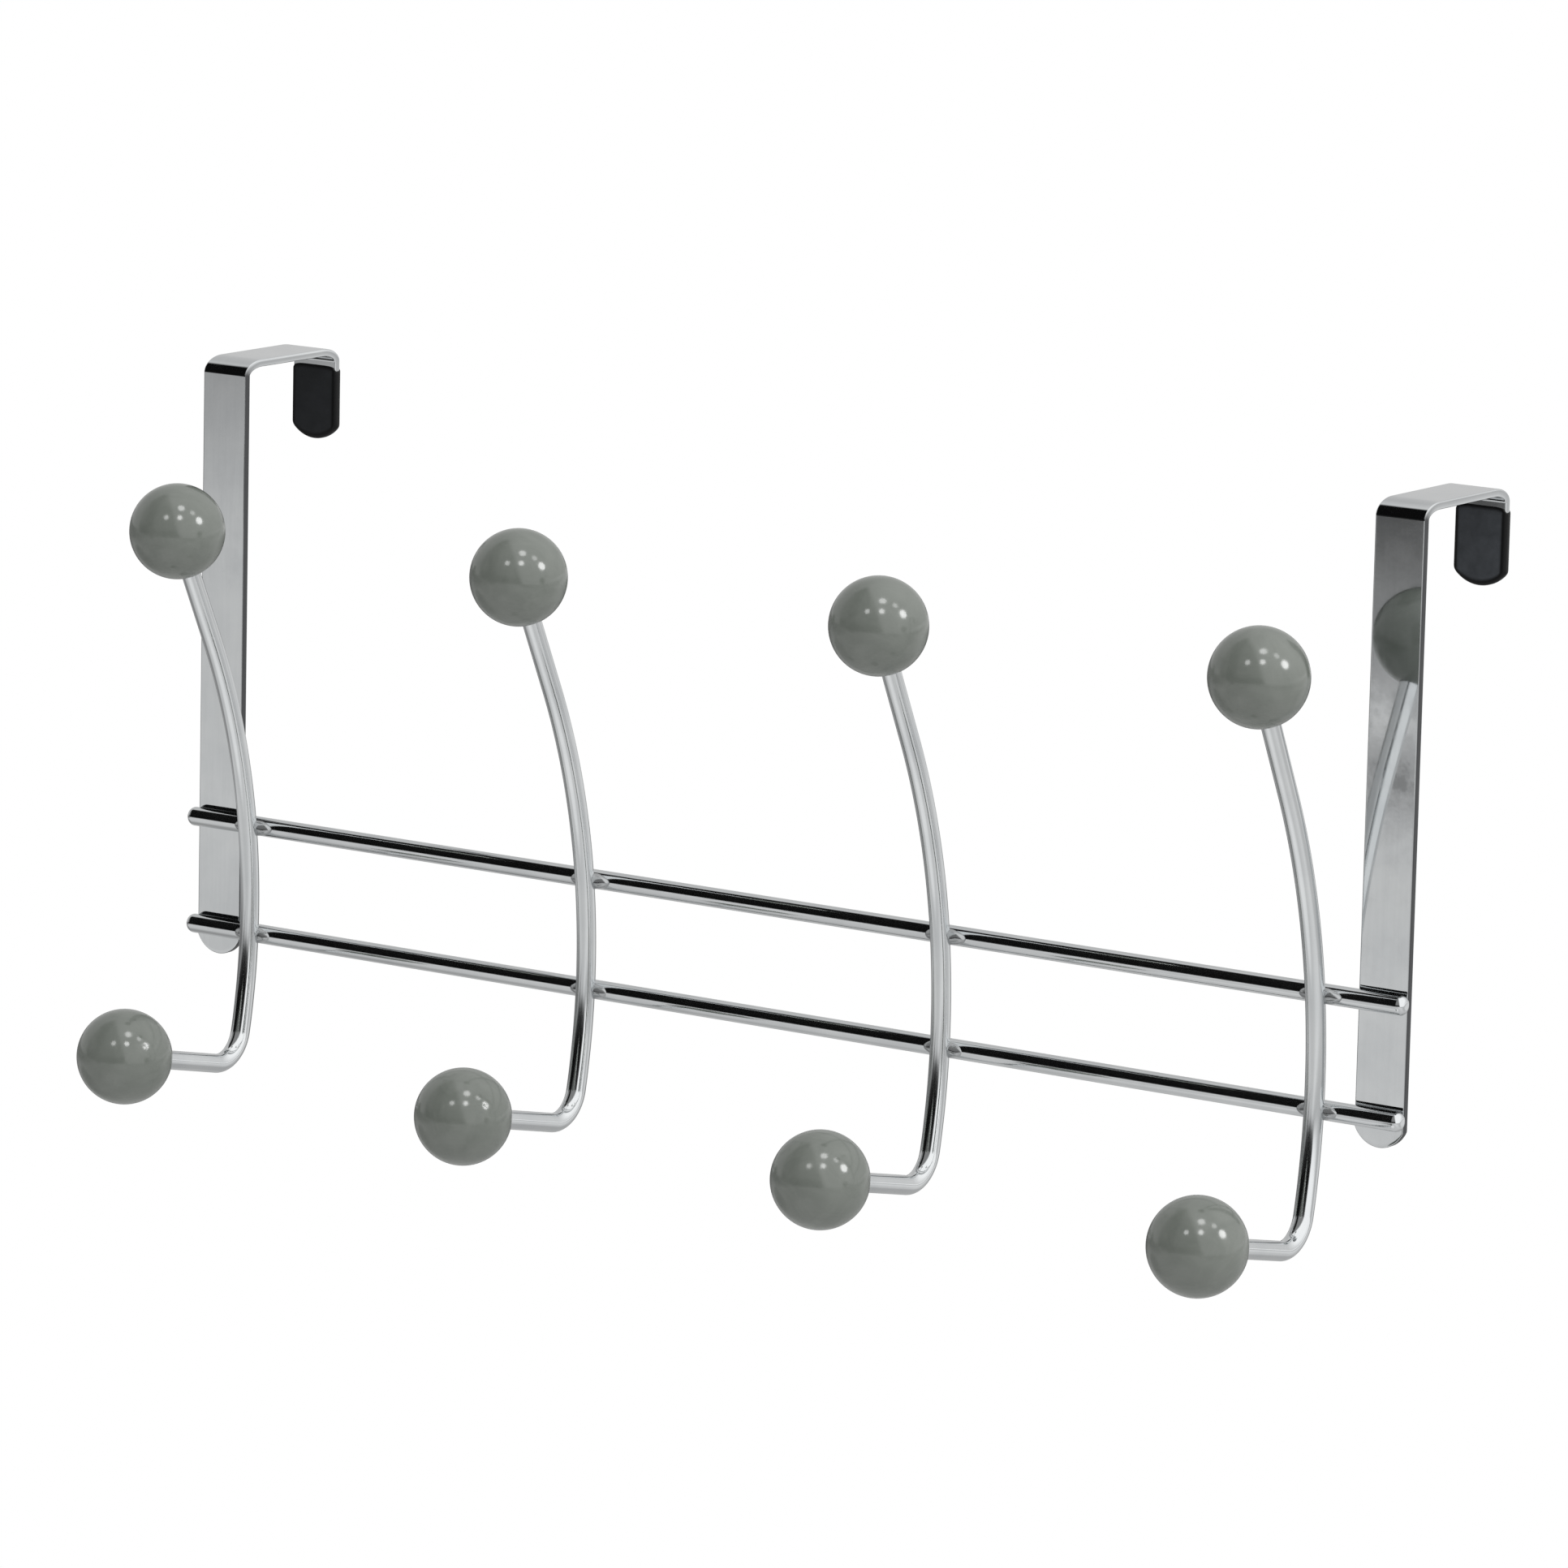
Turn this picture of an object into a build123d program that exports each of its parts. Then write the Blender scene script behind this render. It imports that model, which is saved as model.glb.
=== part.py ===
"""Over-door rack: four double hooks with ball ends on two welded rails.

+X runs along the rails, +Y goes back into the door and +Z is up.  The origin is on the
door's top front edge, midway between the two straps: the front legs lie on the plane y = 0
and the bridges rest on the plane z = 0.  All sizes are in millimetres.
"""
import os
from math import asin, atan2, cos, degrees, hypot, radians, sin, sqrt

from build123d import *

# Door straps: rolled steel strip with rounded edges, bent twice over the top of the door
strap_width = 14.0
strap_thickness = 2.0
strap_edge_radius = 0.35
strap_bend_radius = 2.6
strap_spacing = 360.0
door_room = 36.4
foot_drop = 157.8
foot_crown = 4.8
tab_drop = 22.8
tab_crown = 3.4

# Soft coat, dipped over the rear tabs
coat_wall = 0.4
coat_edge_radius = 1.1
coat_top_drop = 3.2

# Rails: straight round wires across the front of the straps
rail_diameter = 5.0
rail_end_radius = 1.8
rail_overhang = 1.0
rail_spacing = 29.0
rail_seat_depth = 0.25
lower_rail_drop = 150.0

# Hook wires: a straight neck, one long bow, a tight bend and a forward arm
hook_count = 4
hook_pitch = 110.0
wire_diameter = 5.0
wire_seat_depth = 1.2
bow_radius = 165.0
bow_back_rise = 8.0
arm_bend_radius = 9.0
arm_tilt = 12.0

# Weld beads where the hook wires cross the rails
weld_length = 12.0
weld_diameter = 4.4

# Balls pressed on the wire ends
ball_diameter = 25.0
ball_bore_depth = 12.5
ball_bore_clearance = 0.05
neck_length = 22.0
upper_ball_rise = 83.2
lower_ball_reach = 56.0
lower_ball_drop = 24.2

# Spare room round the cuts that trim the strap ends
trim_margin = 1.0

# Rails lie on the straps' front faces, each with a narrow flat pressed by the weld
rail_y = rail_seat_depth - strap_thickness - rail_diameter / 2
lower_rail_z = -lower_rail_drop
upper_rail_z = lower_rail_z + rail_spacing
rail_length = strap_spacing + strap_width + 2 * rail_overhang

# The strap's middle plane: front leg, bridge and tab
leg_y = -strap_thickness / 2
bridge_z = strap_thickness / 2
tab_y = door_room + coat_wall + strap_thickness / 2

# The bow is one arc, rearmost a little above the lower rail, set into that rail and touching the upper
rail_front_y = rail_y - rail_diameter / 2
lower_crossing_y = rail_front_y + wire_seat_depth - wire_diameter / 2
bow_z = lower_rail_z + bow_back_rise
bow_y = lower_crossing_y - sqrt(bow_radius**2 - bow_back_rise**2)
upper_crossing_y = bow_y + sqrt(bow_radius**2 - (upper_rail_z - bow_z) ** 2)

# Above the bow a straight neck runs into the upper ball, whose height ends the arc
ball_radius = ball_diameter / 2
neck_run = neck_length + ball_radius
upper_ball_z = upper_rail_z + upper_ball_rise
neck_lean = asin((upper_ball_z - bow_z) / hypot(bow_radius, neck_run)) - atan2(neck_run, bow_radius)
neck_axis = Vector(0, -sin(neck_lean), cos(neck_lean))
upper_ball_y = bow_y + bow_radius * cos(neck_lean) - neck_run * sin(neck_lean)

# Below the rails a bend leaves the bow and runs into the arm, which points at the lower ball.
# The bend's centre is inside the bow by the bend's radius, and above the arm's line by the same.
lower_ball_y = rail_y - lower_ball_reach
lower_ball_z = lower_rail_z - lower_ball_drop
arm_axis = Vector(0, -cos(radians(arm_tilt)), sin(radians(arm_tilt)))
arm_up = Vector(0, sin(radians(arm_tilt)), cos(radians(arm_tilt)))
over_ball = Vector(0, lower_ball_y - bow_y, lower_ball_z - bow_z) + arm_bend_radius * arm_up
ahead = over_ball.dot(arm_axis)
arm_run = ahead + sqrt(ahead**2 + (bow_radius - arm_bend_radius) ** 2 - over_ball.length**2)
bend_y = bow_y + over_ball.Y - arm_run * arm_axis.Y
bend_z = bow_z + over_ball.Z - arm_run * arm_axis.Z
bend_lean = atan2(bow_z - bend_z, bend_y - bow_y)

# Wire tips in the ball bores
tip_past_centre = ball_bore_depth - ball_radius


def crown_radius(width, crown):
    """Radius of the arc that spans a width and stands proud of it by the crown."""
    return (crown**2 + (width / 2) ** 2) / (2 * crown)


def end_trim(centre_x, face_y, tip_z, width, radius):
    """Sketch of the corners to cut from a leg's end, to leave an arc that touches tip_z."""
    crown = radius - sqrt(radius**2 - (width / 2) ** 2)
    with BuildSketch(Plane.XZ.offset(-face_y)) as corners:
        with Locations((centre_x, tip_z + (crown - trim_margin) / 2)):
            Rectangle(width + 2 * trim_margin, crown + trim_margin)
        with Locations((centre_x, tip_z + radius)):
            Circle(radius, mode=Mode.SUBTRACT)
    return corners.sketch


def save(piece, node):
    """Label a finished piece and write it to a file of its own."""
    piece.part.label = node
    export_step(piece.part, f"parts/{node}.step")


os.makedirs("parts", exist_ok=True)

# Arcs that end the straps, and the outside of the coat
foot_radius = crown_radius(strap_width, foot_crown)
tab_radius = crown_radius(strap_width, tab_crown)
coat_width = strap_width + 2 * coat_wall
coat_depth = strap_thickness + 2 * coat_wall
coat_tip_z = -tab_drop - coat_wall

straps = []
for side, strap_x in (("left", -strap_spacing / 2), ("right", strap_spacing / 2)):
    # Strap: the strip's section swept over the door, its two ends cut to shallow arcs
    with BuildPart() as strap:
        with BuildLine(Plane.YZ.offset(strap_x)):
            FilletPolyline(
                (leg_y, -foot_drop),
                (leg_y, bridge_z),
                (tab_y, bridge_z),
                (tab_y, -tab_drop),
                radius=strap_bend_radius + strap_thickness / 2,
            )
        with BuildSketch(Plane((strap_x, leg_y, -foot_drop))):
            RectangleRounded(strap_width, strap_thickness, strap_edge_radius)
        sweep()
        foot_trim = end_trim(strap_x, -strap_thickness, -foot_drop, strap_width, foot_radius)
        extrude(foot_trim, amount=-strap_thickness, mode=Mode.SUBTRACT)
        tab_trim = end_trim(strap_x, tab_y - strap_thickness / 2, -tab_drop, strap_width, tab_radius)
        extrude(tab_trim, amount=-strap_thickness, mode=Mode.SUBTRACT)
    straps.append(strap.part)
    save(strap, f"{side}_strap")

    # Coat: a thin skin round the tab and under its end
    with BuildPart() as tab_coat:
        with BuildSketch(Plane.XY.offset(coat_tip_z)):
            with Locations((strap_x, tab_y)):
                RectangleRounded(coat_width, coat_depth, coat_edge_radius)
        extrude(amount=-coat_top_drop - coat_tip_z)
        coat_trim = end_trim(strap_x, tab_y - coat_depth / 2, coat_tip_z, coat_width, tab_radius + coat_wall)
        extrude(coat_trim, amount=-coat_depth, mode=Mode.SUBTRACT)
        add(strap.part, mode=Mode.SUBTRACT)
    save(tab_coat, f"{side}_tab_coat")

rails = []
for level, rail_z in (("upper", upper_rail_z), ("lower", lower_rail_z)):
    # Rail: a straight wire with rounded ends and a flat on each strap
    with BuildPart() as rail:
        with BuildSketch(Plane.YZ.offset(-rail_length / 2)):
            with Locations((rail_y, rail_z)):
                Circle(rail_diameter / 2)
        extrude(amount=rail_length)
        fillet(rail.edges().filter_by(GeomType.CIRCLE), radius=rail_end_radius)
        add(straps, mode=Mode.SUBTRACT)
    rails.append(rail.part)
    save(rail, f"{level}_rail")

for number in range(1, hook_count + 1):
    hook_x = (number - (hook_count + 1) / 2) * hook_pitch

    # Hook wire: one round wire from ball to ball, with a weld bead on each rail
    with BuildPart() as hook_wire:
        with BuildLine(Plane.YZ.offset(hook_x)):
            Line(
                (lower_ball_y + tip_past_centre * arm_axis.Y, lower_ball_z + tip_past_centre * arm_axis.Z),
                (lower_ball_y - arm_run * arm_axis.Y, lower_ball_z - arm_run * arm_axis.Z),
            )
            CenterArc(
                (bend_y, bend_z),
                arm_bend_radius,
                start_angle=-90 - arm_tilt,
                arc_size=90 + arm_tilt - degrees(bend_lean),
            )
            CenterArc(
                (bow_y, bow_z),
                bow_radius,
                start_angle=-degrees(bend_lean),
                arc_size=degrees(bend_lean + neck_lean),
            )
            Line(
                (upper_ball_y - neck_run * neck_axis.Y, upper_ball_z - neck_run * neck_axis.Z),
                (upper_ball_y + tip_past_centre * neck_axis.Y, upper_ball_z + tip_past_centre * neck_axis.Z),
            )
        arm_tip = Vector(hook_x, lower_ball_y, lower_ball_z) + tip_past_centre * arm_axis
        with BuildSketch(Plane(arm_tip, z_dir=-arm_axis)):
            Circle(wire_diameter / 2)
        sweep()
        for rail_z, crossing_y in ((upper_rail_z, upper_crossing_y), (lower_rail_z, lower_crossing_y)):
            bead_y = (rail_front_y + crossing_y + wire_diameter / 2) / 2
            with BuildSketch(Plane.XY.offset(rail_z)):
                with Locations((hook_x, bead_y)):
                    Ellipse(weld_length / 2, weld_diameter / 2)
                    Rectangle(
                        weld_length,
                        weld_diameter,
                        align=(Align.CENTER, Align.MAX),
                        mode=Mode.SUBTRACT,
                    )
            revolve(axis=Axis((hook_x, bead_y, rail_z), (1, 0, 0)))
        add(rails, mode=Mode.SUBTRACT)
    save(hook_wire, f"hook_wire_{number}")

    # Balls: solid spheres with a blind bore for the wire's tip
    for level, ball_y, ball_z, wire_axis in (
        ("upper", upper_ball_y, upper_ball_z, neck_axis),
        ("lower", lower_ball_y, lower_ball_z, arm_axis),
    ):
        ball_centre = Vector(hook_x, ball_y, ball_z)
        with BuildPart() as ball:
            with Locations(ball_centre):
                Sphere(ball_radius)
            with BuildSketch(Plane(ball_centre + tip_past_centre * wire_axis, z_dir=-wire_axis)):
                Circle(wire_diameter / 2 + ball_bore_clearance)
            extrude(amount=ball_diameter, mode=Mode.SUBTRACT)
        save(ball, f"{level}_ball_{number}")
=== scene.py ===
"""Dressed model of a chrome over-door rack with double ball-ended hooks, in metres, in the CAD frame.

+X runs along the rails, +Y goes back into the door and +Z is up.  The origin is on the door's top
front edge, midway between the two straps.
"""
from math import asin, atan2, cos, hypot, pi, radians, sin, sqrt

import bpy
import numpy as np
from mathutils import Matrix, Vector


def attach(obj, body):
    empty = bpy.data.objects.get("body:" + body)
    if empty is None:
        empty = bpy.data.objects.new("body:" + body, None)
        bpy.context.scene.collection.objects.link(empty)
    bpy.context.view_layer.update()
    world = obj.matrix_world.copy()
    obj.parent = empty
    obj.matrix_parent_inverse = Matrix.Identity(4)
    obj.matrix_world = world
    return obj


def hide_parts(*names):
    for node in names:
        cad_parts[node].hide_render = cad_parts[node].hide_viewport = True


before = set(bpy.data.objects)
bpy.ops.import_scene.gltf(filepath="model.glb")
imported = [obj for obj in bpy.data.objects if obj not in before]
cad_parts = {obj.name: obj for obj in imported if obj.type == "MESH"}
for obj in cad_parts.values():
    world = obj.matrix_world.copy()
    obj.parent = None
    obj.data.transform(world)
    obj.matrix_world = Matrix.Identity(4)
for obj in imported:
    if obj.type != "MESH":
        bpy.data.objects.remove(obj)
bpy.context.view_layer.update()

# Door straps: two strips of rolled mild steel with eased edges, cropped to shallow arcs at both
# ends, bent twice in a press so that they hang over the top of a door, then nickel-chrome plated.
MM = 0.001
strap_width, strap_thickness = 14.0 * MM, 2.0 * MM
strap_edge_radius = 0.35 * MM
bend_rise, bend_reach = 4.0 * MM, 7.2 * MM
strap_x = 180.0 * MM
foot_drop, foot_crown = 157.8 * MM, 4.8 * MM
tab_drop, tab_crown = 22.8 * MM, 3.4 * MM
tab_y = 37.8 * MM
crop_radius, crop_ease = 0.3 * MM, 1.5 * MM
sheared_depth = 0.3 * strap_edge_radius
guard = 0.1 * MM
corner_rows, flat_rows = 10, 27
rim_rows, dull_rim_rows, ease_rows = 7, 4, 8
leg_rows, bend_rows, bridge_rows = 14, 33, 10
plate_dark, plate_light = (0.605, 0.622, 0.632), (0.66, 0.675, 0.68)
# Painted shade: the dark tone that the plate's colour is mixed towards where it is dull
dull_painted_shade, dull_haze = (0.085, 0.087, 0.09), 0.30
skin_height = 5.0e-7
left_and_right = (("left", -strap_x), ("right", strap_x))


def link_nodes(tree, *chain):
    """Join node sockets: each item is (from node, from socket, to node, to socket)."""
    for source, out_name, target, in_name in chain:
        tree.links.new(source.outputs[out_name], target.inputs[in_name])


def new_node(tree, kind, **settings):
    """One shader node; a setting is an input with that name, spaces as underscores, or a property."""
    node = tree.nodes.new(kind)
    for name, value in settings.items():
        socket = name.replace("_", " ")
        if socket in node.inputs:
            node.inputs[socket].default_value = value
        else:
            setattr(node, name, value)
    return node


def ramp_node(tree, stops):
    """Colour ramp with (position, grey or colour) stops."""
    node = tree.nodes.new("ShaderNodeValToRGB")
    keys = node.color_ramp.elements
    while len(keys) < len(stops):
        keys.new(0.5)
    for key, (position, value) in zip(keys, stops):
        key.position = position
        key.color = (*value, 1.0) if isinstance(value, tuple) else (value, value, value, 1.0)
    return node


def blank_material(name):
    """Material with a Principled shader, its tree and that shader."""
    material = bpy.data.materials.new(name)
    material.use_nodes = True
    return material, material.node_tree, material.node_tree.nodes["Principled BSDF"]


def chrome_finish(name, stretch, ripple_height, least_haze, most_haze, line_depth):
    """Bright chrome: the plate follows slow ripples of the steel, drawn out by the stretch along each
    axis, with a fine skin over them, faint rolling lines and patches of haze from polishing.  Where the
    attribute for roughness and painted shade is high, on sheared edges and weld beads, it is duller, and
    its colour is darkened as painted shade."""
    material, tree, shader = blank_material(name)
    shader.inputs["Metallic"].default_value = 1.0
    place = new_node(tree, "ShaderNodeTexCoord")
    blotches_and_painted_sheen = new_node(tree, "ShaderNodeTexNoise", Scale=60.0, Detail=4.0, Roughness=0.55)
    tone = ramp_node(tree, [(0.35, plate_dark), (0.65, plate_light)])
    along = new_node(tree, "ShaderNodeMapping", Scale=(700.0, 70.0, 50.0))
    lines = new_node(tree, "ShaderNodeTexNoise", Scale=1.0, Detail=3.0, Roughness=0.6)
    line_tone = ramp_node(tree, [(0.3, 1.0 - line_depth), (0.7, 1.0)])
    lined = new_node(tree, "ShaderNodeMix", data_type="RGBA", blend_type="MULTIPLY", Factor=1.0)
    smears = new_node(tree, "ShaderNodeTexNoise", Scale=210.0, Detail=5.0, Roughness=0.62)
    haze = ramp_node(tree, [(0.38, least_haze), (0.72, most_haze)])
    rough_and_shaded = new_node(tree, "ShaderNodeAttribute", attribute_name="rough_and_shaded")
    # Painted shade: the plate's colour darkened towards the dull tone on edges and beads
    dulled_and_shaded = new_node(tree, "ShaderNodeMix", data_type="RGBA", B=(*dull_painted_shade, 1.0))
    matted = new_node(tree, "ShaderNodeMath", operation="MULTIPLY_ADD")
    matted.inputs[1].default_value = dull_haze
    drawn = new_node(tree, "ShaderNodeMapping", Scale=stretch)
    ripples = new_node(tree, "ShaderNodeTexNoise", Scale=1.0, Detail=2.0, Roughness=0.4)
    skin = new_node(tree, "ShaderNodeTexNoise", Scale=900.0, Detail=2.0)
    ripple_bump = new_node(tree, "ShaderNodeBump", Strength=1.0, Distance=ripple_height)
    skin_bump = new_node(tree, "ShaderNodeBump", Strength=1.0, Distance=skin_height)
    link_nodes(
        tree,
        (place, "Object", blotches_and_painted_sheen, "Vector"),
        (blotches_and_painted_sheen, "Fac", tone, "Fac"),
        (place, "Object", along, "Vector"),
        (along, "Vector", lines, "Vector"),
        (lines, "Fac", line_tone, "Fac"),
        (tone, "Color", lined, "A"),
        (line_tone, "Color", lined, "B"),
        (rough_and_shaded, "Fac", dulled_and_shaded, "Factor"),
        (lined, "Result", dulled_and_shaded, "A"),
        (dulled_and_shaded, "Result", shader, "Base Color"),
        (place, "Object", smears, "Vector"),
        (smears, "Fac", haze, "Fac"),
        (rough_and_shaded, "Fac", matted, 0),
        (haze, "Color", matted, 2),
        (matted, "Value", shader, "Roughness"),
        (place, "Object", drawn, "Vector"),
        (drawn, "Vector", ripples, "Vector"),
        (ripples, "Fac", ripple_bump, "Height"),
        (place, "Object", skin, "Vector"),
        (skin, "Fac", skin_bump, "Height"),
        (ripple_bump, "Normal", skin_bump, "Normal"),
        (skin_bump, "Normal", shader, "Normal"),
    )
    return material


def new_piece(name, points, faces, material):
    """Smooth-shaded mesh object at the origin, from whole arrays of points and lists of faces."""
    mesh = bpy.data.meshes.new(name)
    mesh.from_pydata(points.reshape(-1, 3).tolist(), [], faces)
    mesh.shade_smooth()
    mesh.materials.append(material)
    piece = bpy.data.objects.new(name, mesh)
    bpy.context.scene.collection.objects.link(piece)
    return piece


def give_attribute(piece, name, values):
    """Float attribute on the points of a piece, from a whole array or one value for all."""
    attribute = piece.data.attributes.new(name, "FLOAT", "POINT")
    attribute.data.foreach_set("value", np.broadcast_to(values, len(piece.data.vertices)).astype("f"))


def dress(piece, node):
    """Hand a finished piece to the frame: it rides on the one body and stands for a CAD node."""
    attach(piece, "root")
    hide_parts(node)


def ring_faces(rings, around):
    """Quads that join each closed ring of points to the next."""
    first = np.arange(rings - 1)[:, None] * around
    here = np.arange(around)[None]
    after = (here + 1) % around
    quads = np.stack([first + here, first + after, first + around + after, first + around + here], -1)
    return quads.reshape(-1, 4)


def ladder_faces(start, around):
    """Quads across one ring, from each point on its front half to the one behind it."""
    front = np.arange(around // 2 - 1)
    back = around - 1 - front
    return start + np.stack([front, back, back - 1, front + 1], -1)


def strip_section(width, thickness, corner):
    """Rounded rectangle, front half left to right, then back half: arcs of the corner radius and flats.

    Returns across and outward offsets, outward being positive on the front.  A guard point close to each
    corner keeps the shading of the flat level up to the edge.
    """
    turn = np.linspace(0, pi / 2, corner_rows)
    flat_x = width / 2 - corner
    arc_x = flat_x + corner * np.cos(turn)
    arc_out = thickness / 2 - corner + corner * np.sin(turn)
    inner_flat = np.linspace(-flat_x + 3 * guard, flat_x - 3 * guard, flat_rows)
    flats = np.concatenate([[-flat_x + guard], inner_flat, [flat_x - guard]])
    across = np.concatenate([-arc_x, flats, arc_x[::-1]])
    outward = np.concatenate([arc_out, np.full(len(flats), thickness / 2), arc_out[::-1]])
    return np.concatenate([across, across[::-1]]), np.concatenate([outward, -outward[::-1]])


def arc_radius(width, crown):
    """Radius of the arc that spans a width and stands proud of it by the crown."""
    return (crown**2 + (width / 2) ** 2) / (2 * crown)


def arc_height(across, radius):
    """Height of a cropped end above its tip, along an arc of the radius."""
    return radius - np.sqrt(radius**2 - across**2)


def strap_skin(name, middle_x, material):
    """Strip section carried up the leg, round a quarter turn, over the door, round again and down the tab.

    The outside of each turn is a quarter ellipse, tight at the leg and easing on to the bridge, and the
    section keeps square to it.  Each end starts as the cropped arc with a quarter-round rim, and its rows
    ease from the arc to level.  The attribute for roughness and painted shade is one on the ends and on
    the leg's sheared sides, fades round the front turn and is zero on the faces; where it is high the
    plate is duller and painted darker as shade.
    """
    across, outward = strip_section(strap_width, strap_thickness, strap_edge_radius)
    half = strap_thickness / 2
    turn = np.linspace(0, pi / 2, rim_rows)
    rim_height = crop_radius * (1 - np.cos(turn))[:, None]
    rim_share = 1 - crop_radius / half * (1 - np.sin(turn))
    ease = np.linspace(0, 1, ease_rows)[1:, None]
    turn_start = strap_thickness - bend_rise

    def end_rows(tip_drop, crown):
        """Heights and thickness shares of the rows of one end, from its rim to just short of the bend."""
        cut = -tip_drop + arc_height(across, arc_radius(strap_width, crown))
        level = -tip_drop + crown + crop_ease
        eased = (cut + crop_radius) * (1 - ease) + level * ease
        straight = np.append(np.linspace(level, turn_start, leg_rows)[1:-1], turn_start - guard)
        run = straight[:, None] + 0 * across
        share = np.concatenate([rim_share, np.ones(len(eased) + len(run))])
        return np.concatenate([cut + rim_height, eased, run]), share[:, None]

    leg_z, leg_share = end_rows(foot_drop, foot_crown)
    drop_z, drop_share = end_rows(tab_drop, tab_crown)
    quarter = np.linspace(0, pi / 2, bend_rows)[:, None]
    lean = np.arctan2(bend_reach * np.sin(quarter), bend_rise * np.cos(quarter))
    turn_in = bend_reach * (1 - np.cos(quarter)) + (half - outward) * np.cos(lean)
    turn_z = strap_thickness - bend_rise * (1 - np.sin(quarter)) - (half - outward) * np.sin(lean)
    bridge = np.linspace(bend_reach - strap_thickness, tab_y + half - bend_reach, bridge_rows)
    over_y = bridge[1:-1, None] + 0 * across
    y = np.concatenate([
        -half - leg_share * outward,
        -strap_thickness + turn_in,
        over_y,
        (tab_y + half - turn_in)[::-1],
        (tab_y + drop_share * outward)[::-1],
    ])
    z = np.concatenate([leg_z, turn_z, half + outward + 0 * over_y, turn_z[::-1], drop_z[::-1]])
    rings, around = y.shape
    foot = ladder_faces(0, around)
    tab = ladder_faces((rings - 1) * around, around)[:, ::-1]
    faces = np.concatenate([ring_faces(rings, around), foot, tab]).tolist()
    piece = new_piece(name, np.stack([middle_x + across + 0 * y, y, z], -1), faces, material)
    # Duller plate, painted darker as shade, on the ends and the leg's sheared sides, fading round the front
    # turn
    on_leg = np.zeros((rings, 1))
    on_leg[: len(leg_z)] = 1.0
    on_leg[len(leg_z): len(leg_z) + len(lean)] = np.cos(lean) ** 2
    rough_and_shaded = on_leg * np.clip((half - np.abs(outward)) / sheared_depth, 0, 1)
    rough_and_shaded[:dull_rim_rows] = 1.0
    rough_and_shaded[-dull_rim_rows:] = 1.0
    give_attribute(piece, "rough_and_shaded", rough_and_shaded.ravel())
    return piece


strap_chrome = chrome_finish(
    "strap_chrome",
    stretch=(90.0, 40.0, 14.0),
    ripple_height=4.0e-6,
    least_haze=0.035,
    most_haze=0.09,
    line_depth=0.04,
)
for side, middle_x in left_and_right:
    dress(strap_skin(f"{side}_strap_plated", middle_x, strap_chrome), f"{side}_strap")

# Tab coats: black soft plastic that the rear tabs are dipped in, so that they do not scratch the
# door.  The dip leaves a skin with full round edges and an arched line at the top.  Its flat faces are
# painted a lighter grey as sheen, the right tab's more than the left's, so that the round rim reads
# black as painted shade.
coat_wall, coat_edge_radius = 0.4 * MM, 1.1 * MM
coat_top_drop, coat_arch, arch_power = 3.2 * MM, 1.3 * MM, 6
coat_width, coat_depth = strap_width + 2 * coat_wall, strap_thickness + 2 * coat_wall
coat_rim_rows, coat_side_rows, lip_rows, inside_rows = 12, 24, 8, 6
# Width of the rim left black as painted shade, and of the fade into the painted sheen
black_rim, painted_sheen_fade, lip_allowance = 1.0 * MM, 0.6 * MM, 0.3 * MM
# Painted sheen: the lighter greys painted on the flats over the coat's own black, more on the right tab
# than the left
left_painted_sheen, right_painted_sheen = 0.30, 1.0
coat_own_black = (0.002, 0.0022, 0.0025)
painted_sheen_dark, painted_sheen_light = (0.042, 0.046, 0.052), (0.060, 0.065, 0.073)


def dipped_black(name):
    """Satin black skin: painted a lighter grey as sheen where its sheen attribute is high, pitted, with
    faint level dip runs.
    """
    material, tree, shader = blank_material(name)
    shader.inputs["Specular IOR Level"].default_value = 0.18
    place = new_node(tree, "ShaderNodeTexCoord")
    blotches_and_painted_sheen = new_node(tree, "ShaderNodeAttribute", attribute_name="blotches_and_painted_sheen")
    mottle = new_node(tree, "ShaderNodeTexNoise", Scale=320.0, Detail=5.0, Roughness=0.6)
    # Painted sheen: lighter greys mixed over the black where the attribute is high
    painted_sheen = ramp_node(tree, [(0.3, painted_sheen_dark), (0.7, painted_sheen_light)])
    tone = new_node(tree, "ShaderNodeMix", data_type="RGBA", A=(*coat_own_black, 1.0))
    sheen = ramp_node(tree, [(0.3, 0.36), (0.75, 0.52)])
    pits = new_node(tree, "ShaderNodeTexNoise", Scale=2600.0, Detail=3.0)
    pit_bump = new_node(tree, "ShaderNodeBump", Strength=0.5, Distance=6e-6)
    runs = new_node(tree, "ShaderNodeTexWave", bands_direction="Z", Scale=240.0, Distortion=5.0, Detail=2.0)
    run_bump = new_node(tree, "ShaderNodeBump", Strength=0.25, Distance=1.2e-5)
    link_nodes(
        tree,
        (place, "Object", mottle, "Vector"),
        (mottle, "Fac", painted_sheen, "Fac"),
        (blotches_and_painted_sheen, "Fac", tone, "Factor"),
        (painted_sheen, "Color", tone, "B"),
        (tone, "Result", shader, "Base Color"),
        (mottle, "Fac", sheen, "Fac"),
        (sheen, "Color", shader, "Roughness"),
        (place, "Object", pits, "Vector"),
        (pits, "Fac", pit_bump, "Height"),
        (place, "Object", runs, "Vector"),
        (runs, "Fac", run_bump, "Height"),
        (run_bump, "Normal", pit_bump, "Normal"),
        (pit_bump, "Normal", shader, "Normal"),
    )
    return material


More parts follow.
